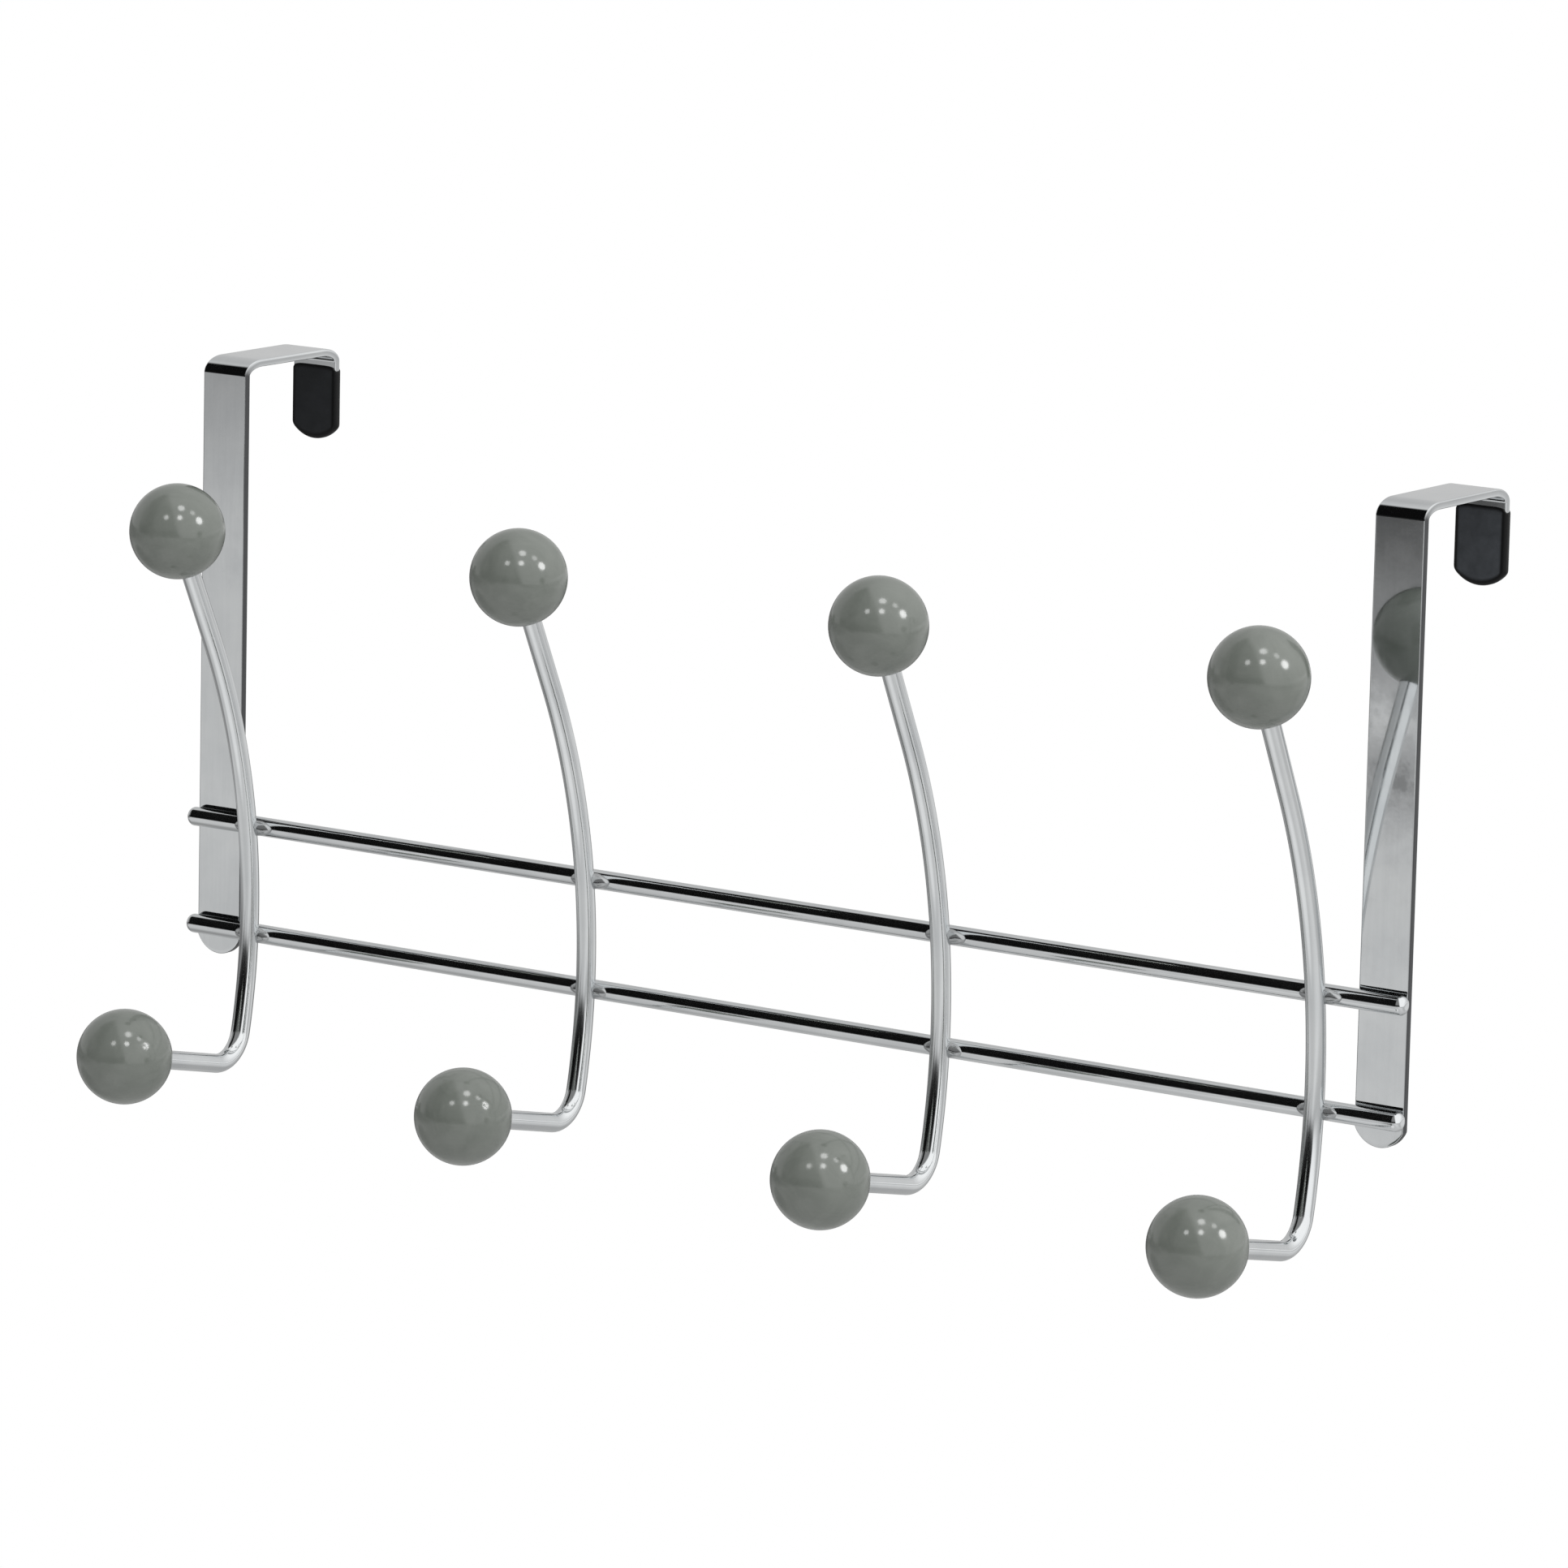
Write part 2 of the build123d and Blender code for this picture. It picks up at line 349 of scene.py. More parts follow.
def coat_skin(name, middle_x, painted_sheen, material):
    """Cup of the dipped skin: outside from the foot's round rim up to the lip, then the inside back down.

    Outside rows use the tab's section grown by the wall, inside rows the tab's own section.  The lip
    falls towards both edges by a high power of the way across.  The painted sheen rises from zero on the
    rim to the tab's share on the flats, as a smooth step of the distance from the edge.
    """
    outer_across, outer_out = strip_section(coat_width, coat_depth, coat_edge_radius)
    inner_across, inner_out = strip_section(strap_width, strap_thickness, strap_edge_radius)
    tab_radius = arc_radius(strap_width, tab_crown)
    turn = np.linspace(0, pi / 2, coat_rim_rows)[:, None]
    cut = -tab_drop - coat_wall + arc_height(outer_across, tab_radius + coat_wall)
    rim_z = cut + coat_edge_radius * (1 - np.cos(turn))
    rim_out = outer_out * (1 - coat_edge_radius * (1 - np.sin(turn)) / (coat_depth / 2))
    lip = -coat_top_drop - coat_arch * (2 * outer_across / coat_width) ** arch_power
    climb = np.linspace(0, 1, coat_side_rows)[1:, None]
    side_z = (cut + coat_edge_radius) * (1 - climb) + (lip - coat_wall) * climb
    lip_turn = np.linspace(0, pi / 2, lip_rows)[1:, None]
    inside_cut = -tab_drop + arc_height(inner_across, tab_radius)
    descent = np.linspace(0, 1, inside_rows)[1:, None]
    inside_z = lip * (1 - descent) + inside_cut * descent
    z = np.concatenate([rim_z, side_z, lip - coat_wall + coat_wall * np.sin(lip_turn), inside_z])
    grown = np.concatenate([np.ones((len(rim_z) + len(side_z), 1)), np.cos(lip_turn), 0 * descent])
    across = inner_across + (outer_across - inner_across) * grown
    out = inner_out + (outer_out - inner_out) * grown
    out[: len(rim_z)] = rim_out
    rings, around = z.shape
    foot = ladder_faces(0, around)
    floor = ladder_faces((rings - 1) * around, around)[:, ::-1]
    faces = np.concatenate([ring_faces(rings, around), foot, floor]).tolist()
    piece = new_piece(name, np.stack([middle_x + across, tab_y - out, z], -1), faces, material)
    # Painted sheen: zero on the round rim, which stays black as painted shade, up to the tab's share on the
    # flats
    from_ends = np.minimum(z - cut, lip - z + lip_allowance)
    from_edge = np.minimum(coat_width / 2 - np.abs(across), from_ends)
    step = np.clip((from_edge - black_rim) / painted_sheen_fade, 0, 1)
    give_attribute(piece, "blotches_and_painted_sheen", (painted_sheen * step**2 * (3 - 2 * step)).ravel())
    return piece


coat_black = dipped_black("coat_black")
lamp_lit = bpy.data.collections.new("lamp_lit")
for (side, middle_x), painted_sheen in zip(left_and_right, (left_painted_sheen, right_painted_sheen)):
    coat = coat_skin(f"{side}_tab_dip", middle_x, painted_sheen, coat_black)
    lamp_lit.objects.link(coat)
    dress(coat, f"{side}_tab_coat")

# Rails: two straight lengths of drawn steel wire with tumbled ends, projection welded to the fronts
# of the straps, which presses a narrow flat into each, then plated with the rest.
rail_radius, rail_end_radius, rail_overhang = 2.5 * MM, 1.8 * MM, 1.0 * MM
rail_half_length = strap_x + strap_width / 2 + rail_overhang
rail_y = -4.25 * MM
lower_rail_z, upper_rail_z = -150.0 * MM, -121.0 * MM
seat_half, seat_step, seat_rows = 6.0 * MM, 0.01 * MM, 5
rail_rows, rail_end_rows = 40, 14
around_wire = 120


def fan_faces(start, around, middle):
    """Triangles from a ring to one point in its middle."""
    here = np.arange(around)
    return np.stack([start + here, np.full(around, middle), start + (here + 1) % around], -1)


def capped_skin(name, rings, material):
    """Closed skin over an array of rings, each end closed by a fan to the ring's own middle."""
    count, around = rings.shape[:2]
    points = np.concatenate([rings.reshape(-1, 3), rings[:1].mean(1), rings[-1:].mean(1)])
    start_fan = fan_faces(0, around, count * around)
    end_fan = fan_faces((count - 1) * around, around, count * around + 1)[:, ::-1]
    faces = ring_faces(count, around).tolist() + start_fan.tolist() + end_fan.tolist()
    return new_piece(name, points, faces, material)


def ring_angles(around):
    """Angles of the points round a ring, evenly spaced over one turn."""
    return np.arange(around) / around * 2 * pi


def rail_skin(name, rail_z, material):
    """Circles along X whose radius rounds off at both ends, cut flat where they lie on the straps."""
    turn = np.linspace(0, pi / 2, rail_end_rows)
    end_x = rail_half_length - rail_end_radius * (1 - np.sin(turn))
    end_radius = rail_radius - rail_end_radius * (1 - np.cos(turn))
    strap_edges = strap_x + strap_width / 2 * np.array([-1.0, 1.0])
    seat_x = strap_x + np.linspace(-seat_half, seat_half, seat_rows)
    open_x = np.linspace(0, strap_x - strap_width, rail_rows)
    half_x = np.unique(np.concatenate([open_x, strap_edges - seat_step, strap_edges + seat_step, seat_x]))
    half_x = half_x[half_x < end_x[0]]
    x = np.concatenate([half_x, end_x])
    radius = np.concatenate([np.full(len(half_x), rail_radius), end_radius])
    x = np.concatenate([-x[:0:-1], x])[:, None]
    radius = np.concatenate([radius[:0:-1], radius])[:, None]
    angle = ring_angles(around_wire)
    y = rail_y + radius * np.cos(angle)
    on_strap = np.abs(np.abs(x) - strap_x) < strap_width / 2
    y = np.where(on_strap, np.minimum(y, -strap_thickness), y)
    return capped_skin(name, np.stack([x + 0 * y, y, rail_z + radius * np.sin(angle)], -1), material)


wire_chrome = chrome_finish(
    "wire_chrome",
    stretch=(45.0, 45.0, 45.0),
    ripple_height=5.0e-6,
    least_haze=0.10,
    most_haze=0.12,
    line_depth=0.02,
)
for level, rail_z in (("upper", upper_rail_z), ("lower", lower_rail_z)):
    dress(rail_skin(f"{level}_rail_plated", rail_z, wire_chrome), f"{level}_rail")

# Hook wires: each is one length of the same wire with a straight neck, one long bow, a tight bend and
# a rising arm.  It is arc welded to both rails, and the beads are plated over with it.
wire_radius = 2.5 * MM
hook_count, hook_pitch = 4, 110.0 * MM
hook_xs = (np.arange(hook_count) - (hook_count - 1) / 2) * hook_pitch
lower_crossing_y, bow_back_rise, bow_radius = -8.05 * MM, 8.0 * MM, 165.0 * MM
bow_z = lower_rail_z + bow_back_rise
bow_y = lower_crossing_y - sqrt(bow_radius**2 - bow_back_rise**2)
neck_run, upper_ball_rise = 34.5 * MM, 83.2 * MM
upper_ball_z = upper_rail_z + upper_ball_rise
neck_lean = asin((upper_ball_z - bow_z) / hypot(bow_radius, neck_run)) - atan2(neck_run, bow_radius)
upper_ball_y = bow_y + bow_radius * cos(neck_lean) - neck_run * sin(neck_lean)
lower_ball_reach, lower_ball_drop = 56.0 * MM, 24.2 * MM
lower_ball_y, lower_ball_z = rail_y - lower_ball_reach, lower_rail_z - lower_ball_drop
arm_bend_radius, arm_tilt = 9.0 * MM, radians(12.0)
arm_rows, arm_bend_rows, bow_rows, neck_rows = 60, 64, 240, 40
weld_half_length, weld_radius = 6.0 * MM, 2.2 * MM
weld_fullness, weld_lump, weld_tip = 0.94, 0.025, 0.9995
weld_rows, around_weld = 49, 48
lower_weld_seed = 4.5
# The weld beads are duller than the wire and painted darker as shade
bead_rough_and_shade = 0.4


def wire_line():
    """Centreline of a hook as (y, z) and its heading from +Y in radians: arm, bend, bow and neck.

    The bend's centre is inside the bow by the bend's radius, and above the arm's line by the same, so
    each stretch runs into the next without a kink.
    """
    over_y = lower_ball_y - bow_y + arm_bend_radius * sin(arm_tilt)
    over_z = lower_ball_z - bow_z + arm_bend_radius * cos(arm_tilt)
    back = over_y * cos(arm_tilt) - over_z * sin(arm_tilt)
    arm_run = sqrt(back**2 + (bow_radius - arm_bend_radius) ** 2 - over_y**2 - over_z**2) - back
    bend_y, bend_z = bow_y + over_y + arm_run * cos(arm_tilt), bow_z + over_z - arm_run * sin(arm_tilt)
    bow_start = pi / 2 - atan2(bow_z - bend_z, bend_y - bow_y)
    bow_end = pi / 2 + neck_lean
    arm = np.linspace(0, arm_run, arm_rows)[:-1]
    bend = np.linspace(-arm_tilt, bow_start, arm_bend_rows)[:-1]
    bow = np.linspace(bow_start, bow_end, bow_rows)
    neck = np.linspace(0, neck_run, neck_rows)[1:]
    y = np.concatenate([
        lower_ball_y + arm * cos(arm_tilt),
        bend_y + arm_bend_radius * np.sin(bend),
        bow_y + bow_radius * np.sin(bow),
        upper_ball_y + (neck_run - neck) * sin(neck_lean),
    ])
    z = np.concatenate([
        lower_ball_z - arm * sin(arm_tilt),
        bend_z - arm_bend_radius * np.cos(bend),
        bow_z - bow_radius * np.cos(bow),
        upper_ball_z - (neck_run - neck) * cos(neck_lean),
    ])
    return y, z, np.concatenate([0 * arm - arm_tilt, bend, bow, 0 * neck + bow_end])


def wire_rings(hook_x):
    """Circle of the wire's radius carried along the centreline, square to its heading."""
    y, z, heading = (values[:, None] for values in wire_line())
    angle = ring_angles(around_wire)
    side, lift = wire_radius * np.cos(angle), -wire_radius * np.sin(angle)
    return np.stack([hook_x + side + 0 * y, y - lift * np.sin(heading), z + lift * np.cos(heading)], -1)


def weld_rings(hook_x, rail_z, seed):
    """Spindle about X where the wire's back meets the rail's front: its radius is a half ellipse of the
    length, with lumps from two crossed waves whose start the seed moves."""
    crossing_y = bow_y + sqrt(bow_radius**2 - (rail_z - bow_z) ** 2)
    bead_y = (crossing_y + wire_radius + rail_y - rail_radius) / 2
    across = weld_tip * np.sin(np.linspace(-1, 1, weld_rows) * pi / 2)[:, None]
    angle = ring_angles(around_weld)
    lumps = np.sin(5.3 * across + 1.9 * seed + 2 * angle) + np.sin(9.1 * across - 3 * angle + 0.8 * seed)
    radius = weld_radius * np.sqrt(1 - across**2) * (weld_fullness + weld_lump * lumps)
    y = bead_y + radius * np.cos(angle)
    return np.stack([hook_x + weld_half_length * across + 0 * y, y, rail_z + radius * np.sin(angle)], -1)


for number, hook_x in enumerate(hook_xs, 1):
    upper_weld = weld_rings(hook_x, upper_rail_z, number)
    lower_weld = weld_rings(hook_x, lower_rail_z, number + lower_weld_seed)
    hook = capped_skin(f"hook_wire_{number}_plated", wire_rings(hook_x), wire_chrome)
    upper_bead = capped_skin("upper_bead", upper_weld, wire_chrome)
    lower_bead = capped_skin("lower_bead", lower_weld, wire_chrome)
    give_attribute(hook, "rough_and_shaded", 0.0)
    give_attribute(upper_bead, "rough_and_shaded", bead_rough_and_shade)
    give_attribute(lower_bead, "rough_and_shaded", bead_rough_and_shade)
    welded = [hook, upper_bead, lower_bead]
    with bpy.context.temp_override(active_object=hook, selected_editable_objects=welded):
        bpy.ops.object.join()
    dress(hook, f"hook_wire_{number}")

# Balls: moulded grey plastic balls with a gloss skin and a blind hole, pressed on to the wire ends so
# that they cover the cut ends.  The hole has a small round lip where the wire goes in.
ball_radius = 12.49 * MM
bore_radius, lip_radius, lip_depth = 2.55 * MM, 0.3 * MM, 0.27 * MM
ball_rows, ball_lip_rows, bore_rows, around_ball = 70, 8, 6, 96
pole_angle = 0.004
grey_dark, grey_light = (0.137, 0.150, 0.134), (0.163, 0.176, 0.159)


def gloss_grey(name):
    """Glossy grey plastic: faint flow mottling in the colour and a slight ripple of the moulded skin."""
    material, tree, shader = blank_material(name)
    shader.inputs["Specular IOR Level"].default_value = 0.52
    place = new_node(tree, "ShaderNodeTexCoord")
    flow = new_node(tree, "ShaderNodeTexNoise", Scale=95.0, Detail=6.0, Roughness=0.6, Distortion=1.2)
    tone = ramp_node(tree, [(0.32, grey_dark), (0.68, grey_light)])
    gloss = ramp_node(tree, [(0.3, 0.11), (0.7, 0.17)])
    ripple = new_node(tree, "ShaderNodeTexNoise", Scale=260.0, Detail=2.0)
    ripple_bump = new_node(tree, "ShaderNodeBump", Strength=1.0, Distance=6e-6)
    link_nodes(
        tree,
        (place, "Object", flow, "Vector"),
        (flow, "Fac", tone, "Fac"),
        (tone, "Color", shader, "Base Color"),
        (flow, "Fac", gloss, "Fac"),
        (gloss, "Color", shader, "Roughness"),
        (place, "Object", ripple, "Vector"),
        (ripple, "Fac", ripple_bump, "Height"),
        (ripple_bump, "Normal", shader, "Normal"),
    )
    return material


def ball_rings(centre_x, centre_y, centre_z, heading):
    """Profile turned about the wire's line: the bore's wall from the centre out, then its lip, a quarter
    ellipse between wall and sphere, then the sphere's half circle."""
    mouth = asin((bore_radius + lip_radius) / ball_radius)
    polar = np.linspace(pi - mouth, pole_angle, ball_rows)
    ball_along, ball_out = ball_radius * np.cos(polar), ball_radius * np.sin(polar)
    turn = np.linspace(0, pi / 2, ball_lip_rows)[:-1]
    lip_along = ball_along[0] + lip_depth * (1 - np.sin(turn))
    lip_out = bore_radius + lip_radius * (1 - np.cos(turn))
    wall_along = np.linspace(0, lip_along[0], bore_rows)[:-1]
    along = np.concatenate([wall_along, lip_along, ball_along])[:, None]
    out = np.concatenate([0 * wall_along + bore_radius, lip_out, ball_out])[:, None]
    angle = ring_angles(around_ball)
    side, lift = out * np.cos(angle), -out * np.sin(angle)
    y = centre_y + along * cos(heading) - lift * sin(heading)
    z = centre_z + along * sin(heading) + lift * cos(heading)
    return np.stack([centre_x + side, y, z], -1)


ball_grey = gloss_grey("ball_grey")
for number, hook_x in enumerate(hook_xs, 1):
    for level, rings in (
        ("upper", ball_rings(hook_x, upper_ball_y, upper_ball_z, pi / 2 + neck_lean)),
        ("lower", ball_rings(hook_x, lower_ball_y, lower_ball_z, pi - arm_tilt)),
    ):
        ball = capped_skin(f"{level}_ball_{number}_gloss", rings, ball_grey)
        lamp_lit.objects.link(ball)
        dress(ball, f"{level}_ball_{number}")

# Camera: a long lens, from the right of the rack and a little above it, as the picture was taken.
# It looks along "ahead" at a point near the rack's middle and is rolled a little.
camera_turn, camera_rise, camera_roll = radians(34.39), radians(10.49), radians(1.31)
camera_distance = 2.2825
aim = np.array([3.13, -4.25, -88.86]) * MM
level_right = np.array([cos(camera_turn), sin(camera_turn), 0.0])
level_ahead = np.array([-sin(camera_turn), cos(camera_turn), 0.0])
ahead = cos(camera_rise) * level_ahead - np.array([0.0, 0.0, sin(camera_rise)])
level_up = np.cross(level_right, ahead)
right = cos(camera_roll) * level_right + sin(camera_roll) * level_up
up = cos(camera_roll) * level_up - sin(camera_roll) * level_right
lens = bpy.data.cameras.new("camera")
lens.lens, lens.sensor_width = 206.46, 36.0
lens.clip_start, lens.clip_end = 0.1, 200.0
camera = bpy.data.objects.new("camera", lens)
bpy.context.scene.collection.objects.link(camera)
turned = Matrix(np.stack([right, up, -ahead], 1).tolist()).to_4x4()
camera.matrix_world = Matrix.Translation((aim - ahead * camera_distance).tolist()) @ turned
bpy.context.scene.camera = camera

# Studio floor: a wide pale floor well below the hung rack, white to the camera.  The chrome mirrors it
# as a glow painted with a pool of light and patches of gloom, in soft tones.  It is not part of the rack.
floor_z, floor_half = -0.9, 40.0
floor_grey, gloom_grey, gleam_grey, white = 0.75, 0.02, 1.05, 1.0


def feed(tree, value, node, socket):
    """Set an input to a number, or to that grey where it takes a colour, or join a (node, output) to it."""
    if isinstance(value, tuple):
        tree.links.new(value[0].outputs[value[1]], node.inputs[socket])
    elif node.inputs[socket].type == "RGBA":
        node.inputs[socket].default_value = (value, value, value, 1.0)
    else:
        node.inputs[socket].default_value = value


def reckon(tree, operation, first, second=0.0):
    """Two values taken together by a Math node; each is a number or a (node, output)."""
    node = new_node(tree, "ShaderNodeMath", operation=operation)
    feed(tree, first, node, 0)
    feed(tree, second, node, 1)
    return node, "Value"


def ranged(tree, value, start, end, low=0.0, high=1.0):
    """Value carried from the span start to end on to the span low to high, and held beyond its ends."""
    node = new_node(tree, "ShaderNodeMapRange", From_Min=start, From_Max=end, To_Min=low, To_Max=high)
    feed(tree, value, node, "Value")
    return node, "Result"


def toned(tree, value, stops):
    """Value turned into a grey by the stops of a ramp."""
    node = ramp_node(tree, stops)
    feed(tree, value, node, "Fac")
    return node, "Color"


def blended(tree, share, first, second):
    """Colour that goes from the first to the second as the share goes from zero to one."""
    node = new_node(tree, "ShaderNodeMix", data_type="RGBA")
    feed(tree, share, node, "Factor")
    feed(tree, first, node, "A")
    feed(tree, second, node, "B")
    return node, "Result"


def against(tree, operation, vector, other):
    """Distance of a place from a point, or dot product of a direction with another."""
    node = new_node(tree, "ShaderNodeVectorMath", operation=operation)
    feed(tree, vector, node, 0)
    node.inputs[1].default_value = other
    return node, "Value"


def axes_of(tree, vector):
    """Node that gives the X, Y and Z of a vector."""
    node = new_node(tree, "ShaderNodeSeparateXYZ")
    feed(tree, vector, node, "Vector")
    return node


def seen_directly(tree):
    """Two switches, each one or zero: for rays from the camera, and for those and rays off a mirror or
    through glass."""
    path = new_node(tree, "ShaderNodeLightPath")
    by_camera = (path, "Is Camera Ray")
    mirrored = reckon(tree, "MAXIMUM", (path, "Is Glossy Ray"), (path, "Is Transmission Ray"))
    return by_camera, reckon(tree, "MAXIMUM", by_camera, mirrored)


def glow_material(name):
    """Material with an emission shader, its tree and that shader."""
    material = bpy.data.materials.new(name)
    material.use_nodes = True
    tree = material.node_tree
    tree.nodes.clear()
    return material, tree, new_node(tree, "ShaderNodeEmission", Strength=1.0)


floor_material, tree, glow = glow_material("pale_floor")
by_camera, directly = seen_directly(tree)
place = (new_node(tree, "ShaderNodeTexCoord"), "Object")
spread = axes_of(tree, place)
along, back = (spread, "X"), (spread, "Y")
reach = ranged(tree, along, -5.0, 10.0)
# Painted pool of light along X, which the chrome mirrors
painted_light_pool = toned(tree, reach, [
    (0.0, 0.36), (0.053, 0.42), (0.078, 0.60), (0.103, 0.72), (0.133, 0.74), (0.16, 0.80), (0.227, 0.80),
    (0.30, 0.72), (0.373, 0.76), (0.427, 0.92), (0.475, 0.95), (0.533, 0.72), (0.613, 0.60), (0.67, 0.72),
    (0.72, 1.05), (0.80, 1.3), (1.0, 1.35),
])
# Gloom at the foot of the dark card, which the straps mirror
foot_shade = toned(tree, ranged(tree, back, -3.3, -4.3), [
    (0.0, 0.0), (0.45, 0.10), (0.52, 0.17), (0.56, 0.56), (0.62, 0.76), (0.70, 0.56), (0.77, 0.22),
    (0.84, 0.08),
])
beside_card = toned(tree, reach, [(0.127, 0.0), (0.153, 1.0), (0.233, 1.0), (0.273, 0.0)])
gloom = reckon(tree, "MULTIPLY", foot_shade, beside_card)
# Gloom far off to the front and left, which the lower parts of the hook wires mirror
to_left = against(tree, "DOT_PRODUCT", place, (-0.695, -0.719, 0.0))
far_gloom = reckon(tree, "MULTIPLY", ranged(tree, back, -6.0, -8.5), ranged(tree, to_left, -0.5, 1.0))
gloom = reckon(tree, "MAXIMUM", gloom, far_gloom)
# Weaker gloom all along the left side
beside = reckon(tree, "MULTIPLY", ranged(tree, along, -2.0, -3.2), ranged(tree, back, -3.3, -2.5))
gloom = reckon(tree, "MAXIMUM", gloom, reckon(tree, "MULTIPLY", beside, 0.4))
# Round patches of gloom, which the wires' outlines, the arms' undersides and the necks' right sides mirror
for patch_x, patch_y, patch_edge, patch_core, patch_depth in (
    (-2.3, 3.3, 3.6, 1.6, 0.85),
    (0.1, 0.8, 0.75, 0.35, 0.28),
    (1.9, 0.9, 1.2, 0.6, 0.27),
):
    away = against(tree, "DISTANCE", place, (patch_x, patch_y, floor_z))
    patch = ranged(tree, away, patch_edge, patch_core, high=patch_depth)
    gloom = reckon(tree, "MAXIMUM", gloom, patch)
# A patch of gloom twice as long as wide, which the necks' left edges mirror, reckoned at half size along X
squash = new_node(tree, "ShaderNodeMapping", Scale=(0.5, 1.0, 1.0))
feed(tree, place, squash, "Vector")
away = against(tree, "DISTANCE", (squash, "Vector"), (-0.80, 0.0, floor_z))
gloom = reckon(tree, "MAXIMUM", gloom, ranged(tree, away, 0.68, 0.35, high=0.60))
# A painted bright patch, which gives the necks their gleam
away = against(tree, "DISTANCE", place, (0.0, -0.9, floor_z))
lit = blended(tree, ranged(tree, away, 0.65, 0.30), painted_light_pool, gleam_grey)
shaded = blended(tree, gloom, lit, gloom_grey)
feed(tree, blended(tree, by_camera, shaded, white), glow, "Color")
matt = new_node(tree, "ShaderNodeBsdfDiffuse", Color=(floor_grey, floor_grey, floor_grey, 1.0))
mixed = new_node(tree, "ShaderNodeMixShader")
out = new_node(tree, "ShaderNodeOutputMaterial")
feed(tree, directly, mixed, "Fac")
link_nodes(
    tree,
    (matt, "BSDF", mixed, 1),
    (glow, "Emission", mixed, 2),
    (mixed, "Shader", out, "Surface"),
)
corners = np.array([[-1, -1, 0], [1, -1, 0], [1, 1, 0], [-1, 1, 0]]) * floor_half + [0, 0, floor_z]
floor = new_piece("pale_floor", corners, [[0, 1, 2, 3]], floor_material)
lamp_lit.objects.link(floor)

# Dark card: an upright sheet on the floor to the front and left, which only the chrome sees.  It glows
# a painted grey at its foot that fades to near black higher up, gives the straps' fronts their dark
# upper part and is not part of the rack.
card_y, card_foot, card_top = -4.2, floor_z + 0.02, 0.0
card_left, card_right = -2.75, -1.85
card_material, tree, glow = glow_material("dark_card")
place = (new_node(tree, "ShaderNodeTexCoord"), "Object")
rise = ranged(tree, (axes_of(tree, place), "Z"), floor_z, card_top)
# Painted glow: grey at the card's foot, fading to near black towards its top
painted_glow_fade = toned(tree, rise, [
    (0.0, 0.33), (0.105, 0.32), (0.127, 0.215), (0.14, 0.165), (0.165, 0.145), (0.175, 0.11), (0.20, 0.07),
    (0.25, 0.03), (1.0, 0.012),
])
feed(tree, painted_glow_fade, glow, "Color")
feed(tree, (glow, "Emission"), new_node(tree, "ShaderNodeOutputMaterial"), "Surface")
corners = np.array([
    [card_left, card_y, card_foot],
    [card_right, card_y, card_foot],
    [card_right, card_y, card_top],
    [card_left, card_y, card_top],
])
card = new_piece("dark_card", corners, [[0, 1, 2, 3]], card_material)
card.visible_camera = False
card.visible_diffuse = False
card.visible_shadow = False

# Room: white to the camera.  The chrome mirrors a bright wall up to the right, and a dark corner to the
# front and left, black low down and where the rails mirror it, and half lit elsewhere.  A soft sky lights
# the plastics.  It is not part of the rack.
corner_black, corner_half_lit = 0.005, 0.30
world = bpy.data.worlds.new("studio_room")
world.use_nodes = True
bpy.context.scene.world = world
tree = world.node_tree
by_camera, directly = seen_directly(tree)
place = (new_node(tree, "ShaderNodeTexCoord"), "Generated")
facing = axes_of(tree, place)
above_floor = toned(tree, ranged(tree, (facing, "Z"), -1.0, 1.0), [(0.470, 0.0), (0.488, 1.0)])
to_front = ranged(tree, against(tree, "DOT_PRODUCT", place, (0.407, -0.914, 0.40)), -0.08, 0.08)
to_left = ranged(tree, against(tree, "DOT_PRODUCT", place, (-0.743, -0.669, -0.25)), -0.06, 0.08)
dark = reckon(tree, "MULTIPLY", above_floor, reckon(tree, "MULTIPLY", to_front, to_left))
to_wall = ranged(tree, against(tree, "DOT_PRODUCT", place, (0.9, -0.3, 0.9)), -0.05, 0.95)
wall = toned(tree, to_wall, [(0.0, 0.66), (0.36, 0.88), (0.5, 0.96), (0.9, 1.3), (1.0, 1.35)])
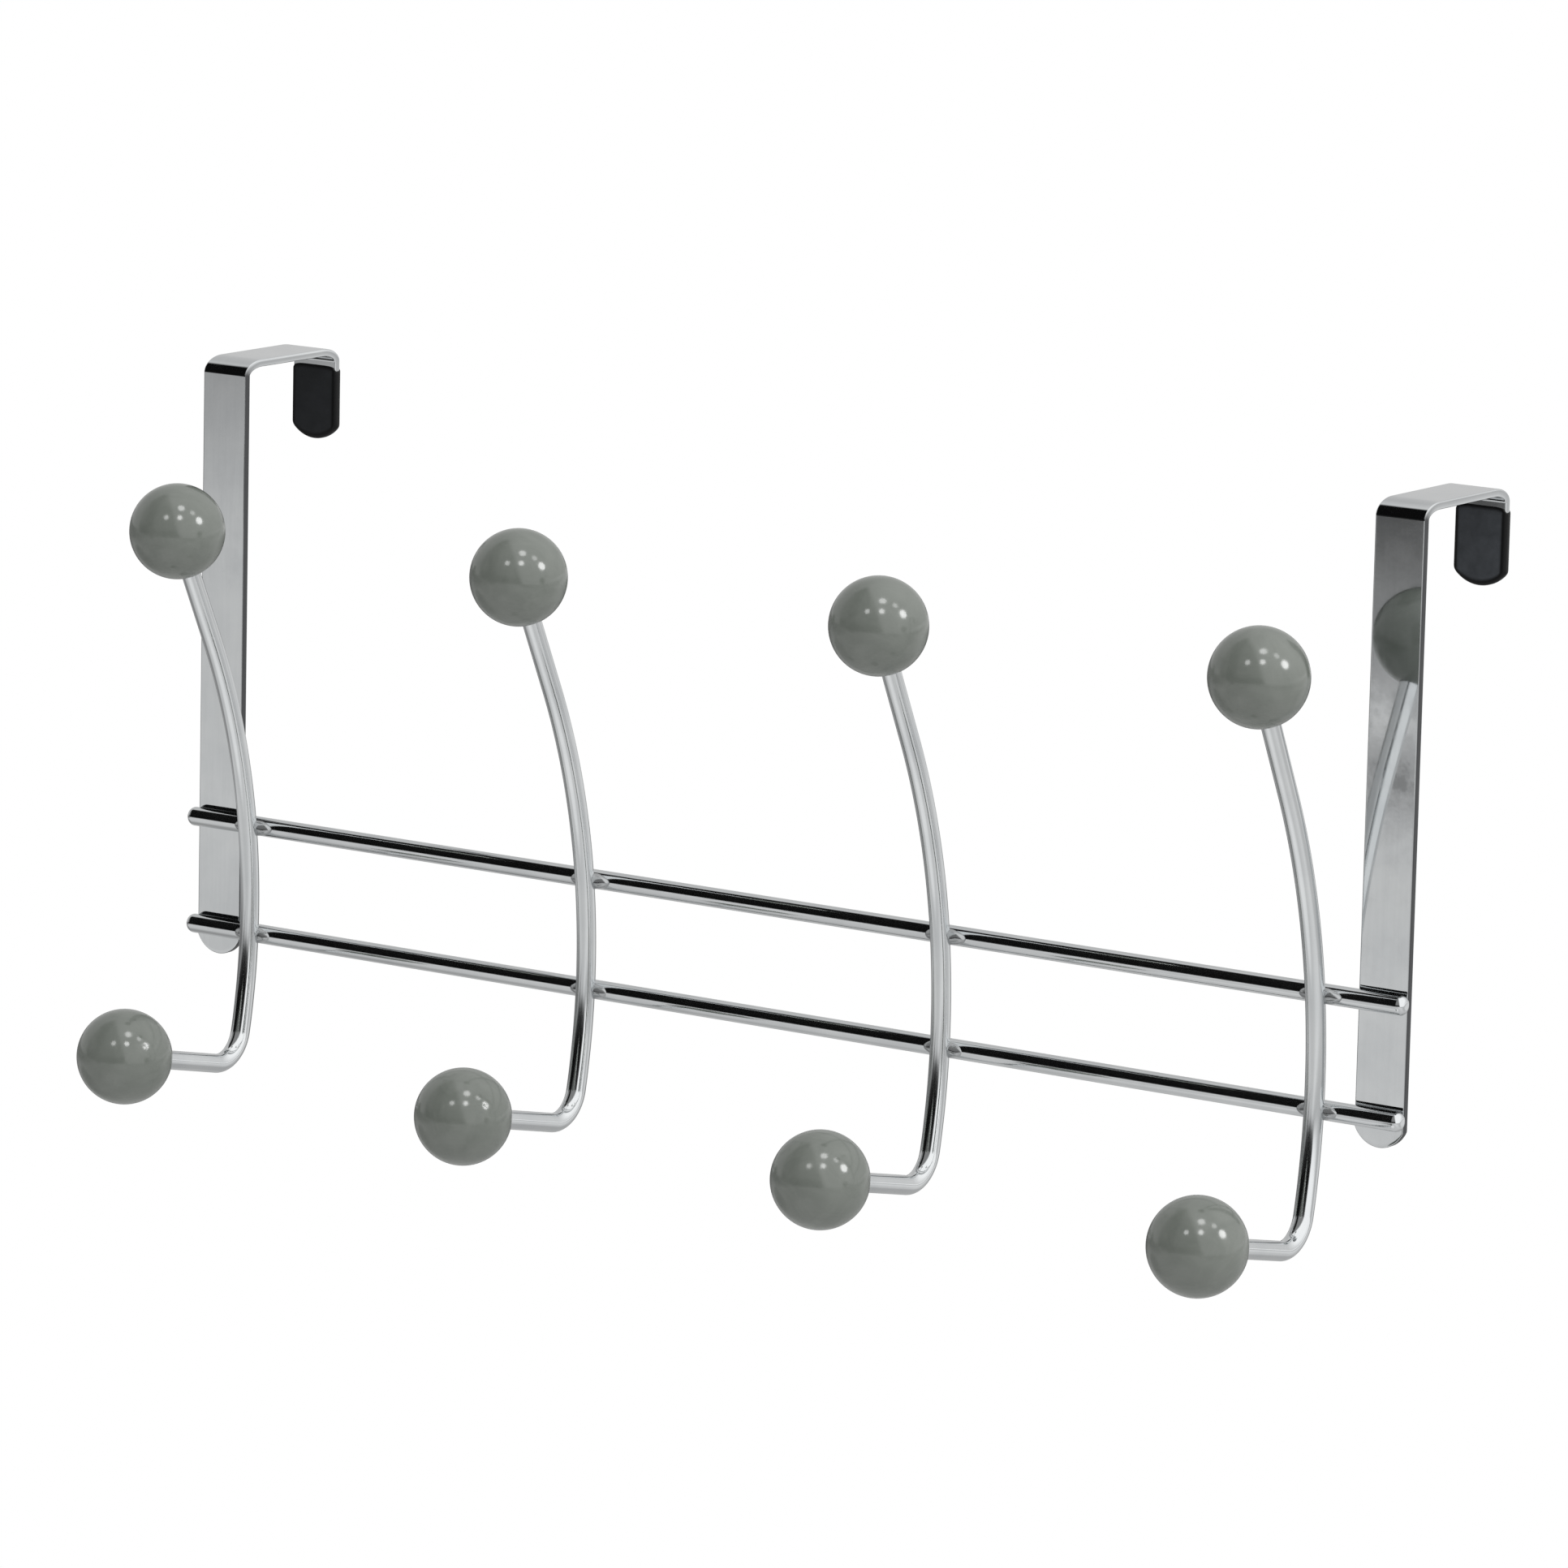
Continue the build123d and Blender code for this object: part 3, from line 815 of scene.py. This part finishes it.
# The rails run along X, so every direction that they mirror to the camera has the same X
rails_facing_x = -0.555
off_rails = reckon(tree, "ABSOLUTE", reckon(tree, "SUBTRACT", (facing, "X"), rails_facing_x))
high_up = ranged(tree, (facing, "Z"), 0.10, 0.22)
half_lit = reckon(tree, "MULTIPLY", ranged(tree, off_rails, 0.11, 0.22), high_up)
shade = ranged(tree, half_lit, 0.0, 1.0, low=corner_black, high=corner_half_lit)
seen = blended(tree, by_camera, blended(tree, dark, wall, shade), white)
to_sky = against(tree, "DOT_PRODUCT", place, (0.395, 0.449, 0.796))
sky = ranged(tree, to_sky, -0.9, 1.0, high=1.08)
feed(tree, blended(tree, directly, sky, seen), tree.nodes["Background"], "Color")

# Lamps: five round soft lamps in front, each placed by where a ball mirrors it.  They light the balls,
# the coats and the floor, and are flagged off the chrome, which mirrors the room alone.
lamp_distance = 4.0


def add_lamp(name, towards_lamp, size, power):
    """Round area lamp out along a direction from the rack's middle, turned to face it."""
    data = bpy.data.lights.new(name, "AREA")
    data.shape, data.size, data.energy = "DISK", size, power
    lamp = bpy.data.objects.new(name, data)
    outward = Vector(towards_lamp).normalized()
    lamp.location = Vector(aim) + outward * lamp_distance
    lamp.rotation_euler = (-outward).to_track_quat("-Z", "Y").to_euler()
    lamp.visible_camera = False
    lamp.light_linking.receiver_collection = lamp_lit
    bpy.context.scene.collection.objects.link(lamp)


# The glint's place is in ball radii to the right of the ball's centre and above it.
for name, glint_right, glint_up, size, power in (
    ("lamp_left", -0.22, 0.28, 0.75, 10.0),
    ("lamp_middle", 0.06, 0.28, 0.80, 17.0),
    ("lamp_right", 0.47, 0.23, 1.15, 45.0),
    ("lamp_high", 0.08, 0.48, 1.00, 19.0),
    ("lamp_corner", 0.32, 0.39, 0.75, 7.0),
):
    glint_near = sqrt(1 - glint_right**2 - glint_up**2)
    glint_normal = glint_right * right + glint_up * up - glint_near * ahead
    add_lamp(name, 2 * glint_near * glint_normal + ahead, size, power)

bpy.context.scene.view_settings.view_transform = "Standard"
